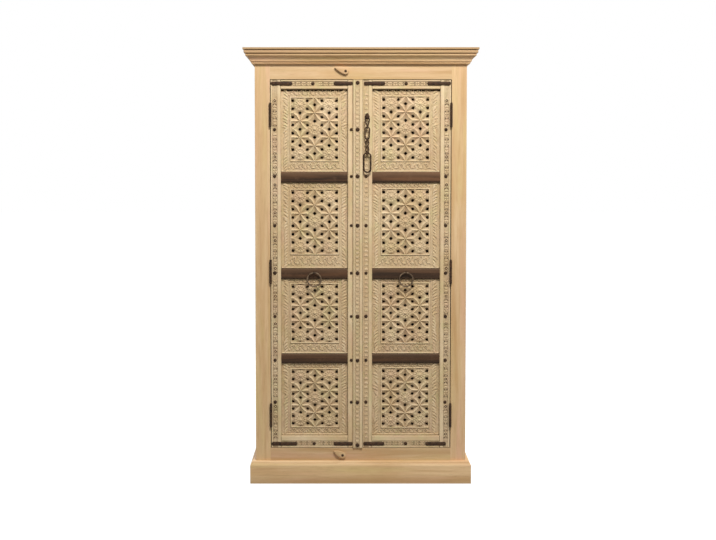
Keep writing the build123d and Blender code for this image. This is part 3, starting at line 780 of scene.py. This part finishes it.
def lattice_panel(side, number, centre, field, ends, across, seed):
    """A pierced panel: star and rosette tiles welded and trimmed to the field, in a border."""
    name, material = f"{side}_pierced_panel_{number}", limed[side, f"jali_panel_{number}"]
    middle, half_high = (field[0] + field[1]) / 2, (field[1] - field[0]) / 2
    reach_x, reach_z = field_half + tile_overlap, half_high + tile_overlap
    found, row = lattice_nodes(field)
    shape = bmesh.new()
    for is_rosette in (False, True):
        places = [(x, 0, z, 0, (1, 1, 2 * row / spacing)) for x, z, kind in found
                  if kind == is_rosette and abs(x) < reach_x and abs(z) < reach_z]
        mesh = strewn(name, places, tile(is_rosette), material, 1, 0, 0)
        shape.from_mesh(mesh)
        bpy.data.meshes.remove(mesh)
    bmesh.ops.remove_doubles(shape, verts=shape.verts, dist=0.03 * MM)
    for axis, trimmed_at in ((0, field_half + under_bead), (2, half_high + under_bead)):
        for way in (-1, 1):
            plane = [0, 0, 0]
            plane[axis] = way
            cut = bmesh.ops.bisect_plane(
                shape, geom=shape.verts[:] + shape.edges[:] + shape.faces[:], dist=1e-6,
                plane_co=[c * trimmed_at * MM for c in plane], plane_no=plane, clear_outer=True)
            rim = [e for e in cut["geom_cut"] if isinstance(e, bmesh.types.BMEdge)]
            bmesh.ops.holes_fill(shape, edges=rim, sides=0)
    for vertex in shape.verts:
        x, y, z = vertex.co
        spot = Vector((x * waver + seed, seed * 2.3, z * waver))
        vertex.co.x += uneven * MM * ripple.noise(spot) + swelling(x / MM, z / MM, row) * MM
        vertex.co.z += uneven * MM * ripple.noise(spot + Vector((7, 3, 1)))
        if y < 0.9 * panel_thick * MM:
            vertex.co.y += uneven / 2 * MM * ripple.noise(spot * 1.7)
    border = across / 2 - field_half - 1 + in_groove
    border_mesh = make_mesh(name, picture_frame(field_half + 1, half_high + 1, (
        (0, -border_ground), (border, -border_ground), (border, panel_thick), (0, panel_thick))))
    shape.from_mesh(border_mesh)
    bmesh.ops.translate(shape, verts=shape.verts, vec=(centre * MM, panel_face * MM, middle * MM))
    # The border's top and bottom reach further than its sides.
    for vertex in shape.verts:
        above = vertex.co.z / MM - middle
        if abs(above) > half_high + in_groove:
            vertex.co.z = (ends[1] + in_groove if above > 0 else ends[0] - in_groove) * MM
    bmesh.ops.recalc_face_normals(shape, faces=shape.faces)
    mesh = bpy.data.meshes.new(name)
    shape.to_mesh(mesh)
    shape.free()
    bpy.data.meshes.remove(border_mesh)
    soften(mesh, 50)
    mesh.materials.append(material)
    settle(name, mesh, f"{side}_door", (f"{side}_jali_panel_{number}",))


# ---- motifs
boss = dome(1, 1)
leaf_path = [(0, 0), (4, 1.6), (8, 2.4), (12, 2.2), (16, 1.0), (20, -1.2), (23, -3.6)]
leaf = rib(leaf_path, lambda t: 0.6 + 4.9 * sin(pi * (0.05 + 0.93 * t) ** 0.8) ** 0.8,
           lambda t: 0.8 + 3.0 * sin(pi * (0.1 + 0.85 * t)) ** 0.7, 5)


def vine():
    """One wave of a leafy stem, 40 long along X."""
    stem = [(-20 + 40 * n / 8, 6 * sin(2 * pi * n / 8)) for n in range(9)]
    parts = [rib(stem, 1.5, 2.6, 4)]
    small_leaf = rib([(n * 2.4, 1.6 * sin(n * 0.65)) for n in range(6)],
                     lambda t: 0.4 + 3.2 * sin(pi * t ** 0.8), lambda t: 0.8 + 2.4 * sin(pi * t), 4)
    for x, z, turn in ((-15, 2, -75), (-8, 5, 10), (5, -2, 75), (12, -5, -10), (-18, -3, 200)):
        parts.append(moved(small_leaf, x, 0, z, radians(turn)))
    for x, z in ((-3, -9), (17, 9)):
        parts.append(moved(boss, x, 0, z, 0, (2.6, 2.8, 2.6)))
    return joined(*parts)


hoop = rib(arc_path(8, 0, 330, 11), 2.0, 2.2, 4, closed=True)
bead_wide, leaf_pitch, vine_pitch = 5, 13, 38
vine_run = 2 * field_half + 12
# The sizes that the motifs are drawn at: band that a leaf fills, its middle, a vine's wave.
leaf_band, leaf_middle, vine_long, vine_band = 38, 11, 40, 27
end_gap = 4  # of the border's ground, left bare at each end of a panel
bead_section = ((0, 3), (0, -0.4), (1.2, -1.4), (2.6, -1.7), (4.0, -1.3), (5, -0.2), (5, 3))
ground = panel_face - border_ground


def evenly(start, length, pitch):
    """Places spread over a length, about the pitch apart."""
    count = round(length / pitch)
    return [start + length * (n + 0.5) / count for n in range(count)]


vines, leaves, beads = ({"left": [], "right": []} for _ in range(3))
for n, (side, opening) in enumerate(openings.items()):
    centre, across = sum(opening) / 2 + field_aside[side], opening[1] - opening[0]
    band = across / 2 - field_half - bead_wide
    leaf_back = leaf_middle * band / leaf_band
    for k, (field, ends) in enumerate(zip(field_heights[side], panel_ends)):
        lattice_panel(side, k + 1, centre, field, ends, across, 5 * n + k + 1)
        middle, half_high = sum(field) / 2, (field[1] - field[0]) / 2
        beads[side].append(moved(picture_frame(field_half, half_high, bead_section),
                                 centre, panel_face, middle))
        fillet = [(centre + way * (across / 2 - 1), ends[0] + end_gap) for way in (-1, 1)]
        beads[side].append(moved(rib(fillet, 3.4, 2.0, 4), 0, ground, 0))
        rows = evenly(ends[0] + end_gap, ends[1] - ends[0] - 2 * end_gap, leaf_pitch)
        for way in (-1, 1):
            out = centre + way * (field_half + bead_wide + band / 2)
            size = (band / leaf_band, 0.88, 0.95 * way)
            for m, z in enumerate(rows):
                lean = (1 if m * 2 > len(rows) else -1) * (pi / 4 if way > 0 else 3 * pi / 4)
                leaves[side].append((out - leaf_back * cos(lean), ground, z - leaf_back * sin(lean),
                                     lean, size))
        for low, high in ((ends[0] + in_groove, field[0] - bead_wide),
                          (field[1] + bead_wide, ends[1])):
            waves = evenly(centre - vine_run / 2, vine_run, vine_pitch)
            size = (vine_run / len(waves) / vine_long, 1, (high - low) / vine_band)
            vines[side] += [(x, ground, (low + high) / 2, 0, size) for x in waves]

for n, side in enumerate(openings):
    laid_on = carving[side], f"{side}_door", "carved_wood"
    piece(f"{side}_panel_beads", joined(*beads[side]), *laid_on)
    strew(f"{side}_border_leaves", leaves[side], leaf, *laid_on, 10 + n, 0.24, 0.12)
    strew(f"{side}_border_vines", vines[side], vine(), *laid_on, 40 + n)

# ---- channel carving
def pad(outline, high=1.0):
    """A raised flat-topped form with a sloping skirt."""
    return stacked(outline, ((1, SINK), (0.98, -0.25 * high), (0.84, -0.85 * high), (0.55, -high)))


scale_pad = pad([(-1, 0.75), (-0.5, 0.5), (0, 0.4), (0.5, 0.5), (1, 0.75)]
                + arc_path(1, 360, 180, 8, 0.95))
petal = pad([(cos(t), 0.36 * sin(t) * abs(sin(t)) ** 0.4) for t in circle(12)])
well_outline = [(5 * cos(t), 2.5 * sin(t)) for t in circle(10)]
well_rim = rib(well_outline, 1.1, 1.7, 4, closed=True)
well_floor = pad(well_outline, 0.35)
stud_heights = (1549, 1346, 1132, 924, 734, 541, 356)
strip_x, strip_floor = -14.8, -179
carved = {side: {kind: [] for kind in ("scales", "petals", "hoops", "dots", "wells")}
          for side in openings}


def rungs(start, pitch, count, spots, room):
    """Numbered places along a channel, but for those with less than the room to a spot."""
    places = [start + pitch * n for n in range(count)]
    return [(n, at) for n, at in enumerate(places) if all(abs(at - spot) > room for spot in spots)]


def carve(side, kind, x, z, turn=0, size=(1, 1, 1), y=-168):
    """Gives a motif its place on a door."""
    carved[side][kind].append((x, y, z, turn, size))


def four_petals(side, x, z, reach_out):
    """Four petals in a cross, their tips reaching out to the channel's corners."""
    out, size = 0.56 * reach_out, (0.5 * reach_out, 1.9, 0.62 * reach_out)
    for k in range(4):
        turn = pi / 4 + k * pi / 2
        carve(side, "petals", x + out * cos(turn), z + out * sin(turn), turn, size)


def well_pair(side, x, z, lean):
    """Two leaf-shaped wells side by side, leaning away from each other; their floors are painted
    dark as shade.
    """
    for way in (-1, 1):
        carve(side, "wells", x + way * 5.8, z, way * lean)


# The centre strip: scales with a pair of dots between them.
for _, z in rungs(186, 18.4, 84, stud_heights, 10):
    carve("left", "scales", strip_x, z, 0, (7.4, 1.9, 7.6), strip_floor)
    for dx in (-9, 9):
        carve("left", "dots", strip_x + dx, z + 9.2, 0, (2.0, 1.6, 2.0), strip_floor)
# The hinge stiles: a hooped boss, scales and a cross of petals in turn, between pairs of wells.
for side, x in (("left", -373.6), ("right", 373.6)):
    for n, z in rungs(214, 30.4, 49, stud_heights, 16):
        if n % 4 == 0:
            carve(side, "hoops", x, z)
            carve(side, "dots", x, z, 0, (3.2, 1.9, 3.2))
        elif n % 4 == 2:
            four_petals(side, x, z, 13.5)
        else:
            for dz in (-5.5, 6.5):
                carve(side, "scales", x, z + dz, pi if n % 4 == 3 else 0, (8.4, 1.9, 6.4))
        well_pair(side, x, z - 15.2, radians(24 if n % 2 else -24))
# The right meeting stile: scales alone.
for _, z in rungs(200, 20, 76, stud_heights[1:], 12):
    carve("right", "scales", 24.2, z, pi, (7.6, 1.5, 6.8))
# The rails: crosses of petals with a pair of wells between them.
for side, opening in openings.items():
    for z in (1747, 174):
        for _, x in rungs(opening[0] + 52, 24, 9, (sum(opening) / 2,), 14):
            four_petals(side, x, z, 11.5)
            for dz in (-4.4, 4.4):
                carve(side, "wells", x + 12, z + dz, 0, (0.9, 1, 0.9))

channel_forms = {"scales": scale_pad, "petals": petal, "hoops": hoop, "dots": boss,
                 "wells": well_rim}
for n, side in enumerate(openings):
    laid_on = f"{side}_door", "carved_wood"
    for k, (kind, form) in enumerate(channel_forms.items()):
        strew(f"{side}_frame_{kind}", carved[side][kind], form, limed[side, "hinge_stile"], *laid_on,
              50 + 10 * k + n, 0.06)
    # Near-black floors in the wells and hoops, as painted shade.
    hollow_floors = carved[side]["wells"] + [
        (*place[:4], (1.35, 1, 2.7)) for place in carved[side]["hoops"]]
    strew(f"{side}_frame_hollows", hollow_floors, well_floor, cut_shade, *laid_on, 90 + n, 0.06)

# ---- ironwork
def forge(name, form, body, *stands_for, finish=iron):
    """A piece of ironwork."""
    piece(name, form, finish, body, "iron", stands_for)


def stud_head():
    """A forged nail head with ten hammered facets, radius 1 and height 1."""
    radii = (1, 1.05) * 5
    corners = [(r * cos(t), r * sin(t)) for r, t in zip(radii, circle(10))]
    return stacked(corners, ((1, 0.1), (1, -0.35), (0.72, -0.75), (0.34, -0.97)))


stud_rows = {
    "left": ((-374.9, -168, stud_heights, 7), (-41.5, -170, stud_heights, 6),
             (-14, -179, (1751, *stud_heights, 167), 8),
             (-207.8, -168, (1748,), 7), (-203.9, -168, (172,), 7)),
    "right": ((370.6, -168, stud_heights, 7), (23.2, -168, stud_heights[1:], 7),
              (196.9, -168, (1748,), 7), (197.8, -168, (172,), 7)),
}
for n, (side, rows) in enumerate(stud_rows.items()):
    spots = [(x, y, z, 0, (r, 5, r)) for x, y, heights, r in rows for z in heights]
    strew(f"{side}_nail_heads", spots, stud_head(), iron, f"{side}_door", "iron", 80 + n, 3, 0.06,
          (f"{side}_studs",))


worn_away, worn_reach = 0.14, 9  # how much of a link's wire has gone at its top bow, and how far


def tube(path, wire, sides=12, closed=True, uneven=0.05, worn_height=None):
    """A hand-forged round bar along a path of points, worn thinner about one height. The ring
    of points that ends a closed one is joined to the first where they lie nearest."""
    spots, turns = [Vector(p) for p in path], circle(sides)
    normal = Vector((0.3, 0.5, 0.8))
    rings = []
    for n in range(len(spots)):
        behind, ahead = beside(spots, n, closed)
        along = (ahead - behind).normalized()
        normal = (normal - along * normal.dot(along)).normalized()
        across = along.cross(normal)
        reach = wire * (1 + uneven * sin(n * 1.7) * cos(n * 0.61))
        if worn_height:
            reach *= 1 - worn_away * exp(-((spots[n].z - worn_height) / worn_reach) ** 2)
        rings.append([tuple(spots[n] + (normal * cos(turn) + across * sin(turn)) * reach)
                      for turn in turns])
    points, faces = strips(rings)
    if closed:
        del faces[-2:]
        first, last = rings[0], rings[-1]
        shift = min(range(sides), key=lambda k: (Vector(first[k]) - Vector(last[0])).length)
        start = len(points) - sides
        faces += [(start + k, start + (k + 1) % sides, (k + 1 + shift) % sides, (k + shift) % sides)
                  for k in range(sides)]
    return points, faces


def loop_path(x, y, heights, radii, turns, bow, runs):
    """The middle of a link's wire: two bows joined by two sides, as in the solid links."""
    lower = (heights[0] + radii[0], radii[0], turns[0])
    upper = (heights[1] - radii[1], radii[1], turns[1])
    path = []
    for here, there, start, side in ((upper, lower, 0, -1), (lower, upper, 180, 1)):
        stops = [(out, here[0] + up, here[2]) for out, up in
                 arc_path(here[1], start, start + 180, bow)]
        for n in range(1, runs):
            z, out, turn = [a + (b - a) * n / runs for a, b in zip(here, there)]
            stops.append((side * out, z, turn))
        for out, z, turn in stops:
            spot = Vector((x + out * cos(radians(turn)), y + out * sin(radians(turn)), z))
            if all((spot - other).length > 0.1 for other in path):
                path.append(spot)
    return path


chain_x, chain_y = 28, -183
links = (
    ("chain_link_1", (1553.5, 1602), (7.5, 9.5), 2.7, (90, 0)),
    ("chain_link_2", (1506.7, 1558.8), (8.2, 10.5), 2.8, (0, 0)),
    ("chain_link_3", (1440.7, 1512), (7, 7), 2.55, (90, 450)),
    ("chain_end_ring", (1363.6, 1447.6), (15.25, 15.25), 3.6, (0, 0)),
)
for label, heights, radii, wire, turns in links:
    runs = 24 if turns[1] > 360 else 10
    form = tube(loop_path(chain_x, chain_y, heights, radii, turns, 14, runs), wire,
                worn_height=heights[1])
    forge(f"forged_{label}", form, label, label)


def staple(x, y, z):
    """An eye that stands edge-on, with its shank in the wood."""
    radius, shank_end = 6.4, -156
    eye = tube(loop_path(x, y, (z - radius, z + radius), (radius, radius), (90, 90), 10, 1), 2.1, 10)
    depths = (0, 8, 16, shank_end - y - radius)
    return joined(eye, tube([(x, y + radius + d, z) for d in depths], 2.8, 8, False, 0))


pulls = {"left": -203.4, "right": 198.2}
pull_y, pull_z, ring_radius, ring_wire = -175.2, 925.7, 29.75, 3.25
for side, x in pulls.items():
    loop = loop_path(x, pull_y, (pull_z - 2 * ring_radius, pull_z), (ring_radius, ring_radius),
                     (0, 0), 26, 1)
    forge(f"{side}_forged_ring", tube(loop, ring_wire), f"{side}_ring", f"{side}_ring",
          finish=handled_iron)
for side, x in pulls.items():
    plate = moved(dome(6.5, 1.6, 14, 4), x, -166, pull_z)
    forge(f"{side}_pull_eye", joined(staple(x, pull_y, pull_z), plate), f"{side}_door",
          f"{side}_ring_staple")
leaf_plate = rib([(0, -9), (0, -6), (0, -1), (0, 5), (0, 9), (0, 13), (0, 18)],
                 lambda t: 11.5 * sin(pi * (0.15 + 0.84 * t ** 0.85)) ** 1.1, 1.6, 6)
forge("chain_eye", joined(staple(chain_x, chain_y, 1602), moved(leaf_plate, chain_x, -170, 1604)),
      "right_door", "chain_staple")

strap_places = {
    "left": ((-390.7, -297, 1748.7), (-116.4, -34.9, 1748.7), (-390.7, -279, 171.5),
             (-118, -34.9, 171.5)),
    "right": ((13.6, 106, 1748.7), (288.3, 390.7, 1748.7), (11.8, 104, 171.5),
              (285, 375.4, 171.5)),
}


def strap(start, end, z):
    """A hammered flat bar with a softened face and rounded ends, nailed on at both ends."""
    half_high, end_round, runs = 7.7, 6, 9
    first, last = start + end_round, end - end_round
    outline = []
    for middle, begin, other in ((last, -90, first), (first, 90, last)):
        way = sin(radians(begin + 180))
        bow = arc_path(end_round, begin, begin + 180, 6, half_high / end_round)
        outline += [(middle + out, z + up) for out, up in bow]
        for n in range(1, runs):
            x = middle + (other - middle) * n / runs
            wave = 0.8 * sin(x * 0.19 + way) * sin(pi * n / runs)
            outline.append((x, z + way * (half_high + wave)))
    rings = []
    for depth, inset in ((-169.6, 0), (-171.8, 0), (-172.5, 0.9)):
        rings.append([(x - copysign(inset, x - (start + end) / 2), depth,
                       z + (h - z) * (1 - inset / half_high)) for x, h in outline])
    nails = [moved(dome(3.4, 1.3, 10, 3), x, -172.4, z) for x in (start + 11, end - 11)]
    return joined(strips(rings), *nails)


for side, places in strap_places.items():
    forge(f"{side}_forged_straps", joined(*[strap(*place) for place in places]), f"{side}_door",
          f"{side}_corner_straps", finish=rusty)


pin_y, half_tall, knuckle, gap = -179.5, 51, 34, 0.3
let_in, standing_out = (-171.5, -142), (-176, -171.4)  # a leaf's depth in the wood and before it


def lathe(x, profile):
    """A round upright solid on a hinge's line, from (radius, z) pairs."""
    return strips([[(x + r * cos(t), pin_y + r * sin(t), z) for t in circle(16)]
                   for r, z in profile])


def block(x, y, z):
    """A plain plate between (low, high) pairs."""
    points = [(a, b, c) for a in x for b in y for c in z]
    faces = [(0, 1, 3, 2), (4, 6, 7, 5), (0, 4, 5, 1), (2, 3, 7, 6), (0, 2, 6, 4), (1, 5, 7, 3)]
    return points, faces


def barrel(x, low, high):
    """A hinge's knuckle."""
    return lathe(x, ((4.7, low), (5.4, low + 0.8), (5.4, high - 0.8), (4.7, high)))


hinge_parts = {"case": [], "left": [], "right": []}
for side, sign in (("left", -1), ("right", 1)):
    x = sign * 392.8
    for middle in (1612, 930, 299):
        low, high = middle - half_tall, middle + half_tall
        fixed, swung = sorted((sign * 393, sign * 394.5)), sorted((sign * 391.1, sign * 392.6))
        outer = ((low, low + knuckle), (high - knuckle, high))
        inner = (low + knuckle + gap, high - knuckle - gap)
        foot = ((1.5, low - 2.4), (4.2, low - 2.0), (4.6, low - 1.0), (3.0, low))
        head = [(r, low + high - z) for r, z in foot[::-1]]
        hinge_parts["case"] += [
            *(barrel(x, *ends) for ends in outer), block(fixed, let_in, (low, high)),
            *(block(fixed, standing_out, ends) for ends in outer), lathe(x, (*foot, *head))]
        hinge_parts[side] += [barrel(x, *inner), block(swung, let_in, (low, high)),
                              block(swung, standing_out, inner)]
forge("case_hinges", joined(*hinge_parts["case"]), "case", "case_hinge_leaves", "hinge_pins")
for side in openings:
    forge(f"{side}_door_hinges", joined(*hinge_parts[side]), f"{side}_door",
          f"{side}_hinge_leaves")

# ---- turn buttons
button_face, screw_face = -173.5, -184.5


def turn_button(x, z, rest, length):
    """A drop-shaped catch, round behind its screw and drawn out to a tip, with soft arrises."""
    head, thick, steps = 14, 11, 12
    reach_to = length - head
    upper = [(reach_to * n / steps, head * (1 - (n / steps) ** 2) ** 0.75) for n in range(steps)]
    lower = [(along, -out) for along, out in upper[::-1]]
    behind = arc_path(head, 270, 90, 16)[1:-1]
    outline = upper + [(reach_to, 0)] + lower + behind
    levels = ((0.94, 0), (1, -1.4), (1, 1.8 - thick), (0.94, 0.4 - thick), (0.84, -thick))
    return moved(stacked(outline, levels), x, button_face, z, radians(rest))


buttons = (("top", -66.1, 1801.1, 161, 64), ("bottom", -79.2, 122.6, 155, 57.5))
heads = []
for n, (place, x, z, rest, length) in enumerate(buttons):
    wood = planed_wood(f"turned_{place}_button", "X", 30 + n, 0.94)
    piece(f"{place}_catch", turn_button(x, z, rest, length), wood, f"{place}_turn_button",
          "case_wood", (f"{place}_turn_button",))
    washer = rib(arc_path(4.6, 0, 340, 17), 1.4, 1.0, 4, closed=True)
    neck = tube([(x, d, z) for d in (-185, -175, -165, -155)], 2.6, 10, False, 0)
    heads += [moved(washer, x, screw_face, z),
              moved(dome(4.4, 2.9, 16, 4), x, screw_face - 0.2, z), neck]
forge("catch_screws", joined(*heads), "case", "button_screws")
